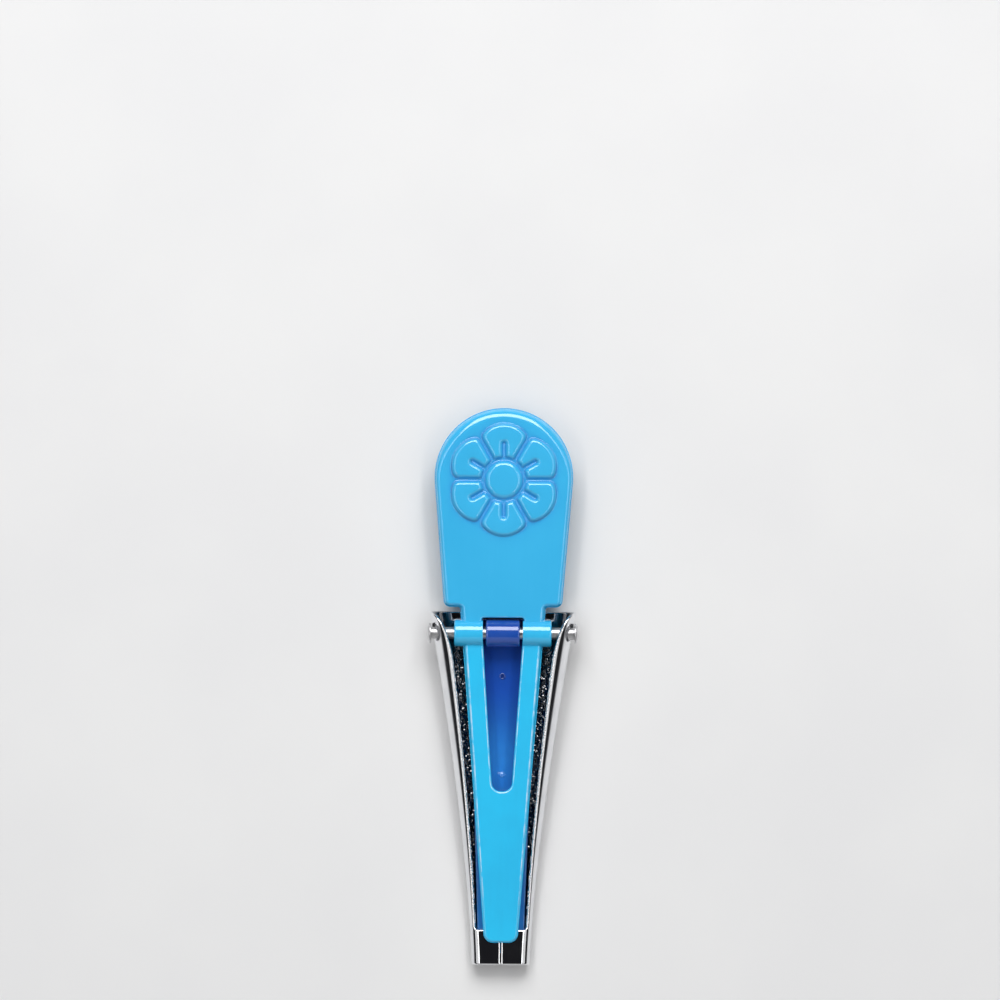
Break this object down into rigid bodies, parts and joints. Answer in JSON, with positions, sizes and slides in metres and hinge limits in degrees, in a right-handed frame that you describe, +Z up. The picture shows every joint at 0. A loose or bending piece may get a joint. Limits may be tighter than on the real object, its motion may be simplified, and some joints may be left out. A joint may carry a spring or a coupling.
{
  "type": "bias tape maker",
  "caption": "Bias tape maker: a tapered plated-steel shell folds a cloth strip round an inner guide, under a hinged plastic arm with a slotted tongue and a flower on its handle.",
  "frame": {"origin": "middle of the object in plan, on the surface that the shell's floor rests on", "axes": "+Y along the tool from the tape exit to the handle, +Z up through the open side of the shell, +X across"},
  "size_m": [0.0186, 0.068, 0.0056],
  "materials": {
    "plated_steel": "bright plated sheet steel with fine drawing marks",
    "guide_plastic": "smooth royal-blue moulded plastic",
    "arm_plastic": "smooth sky-blue moulded plastic",
    "pin_steel": "bright turned steel"
  },
  "bodies": {
    "folder": {"folding_shell": "plated_steel", "inner_guide": "guide_plastic", "hinge_pin": "pin_steel"},
    "arm": {"guide_arm": "arm_plastic"}
  },
  "joints": [
    {"name": "arm_hinge", "type": "hinge", "parent": "folder", "child": "arm", "pos_m": [0, 0.00655, 0.00395], "axis": [-1, 0, 0], "range_deg": [0, 5]}
  ]
}
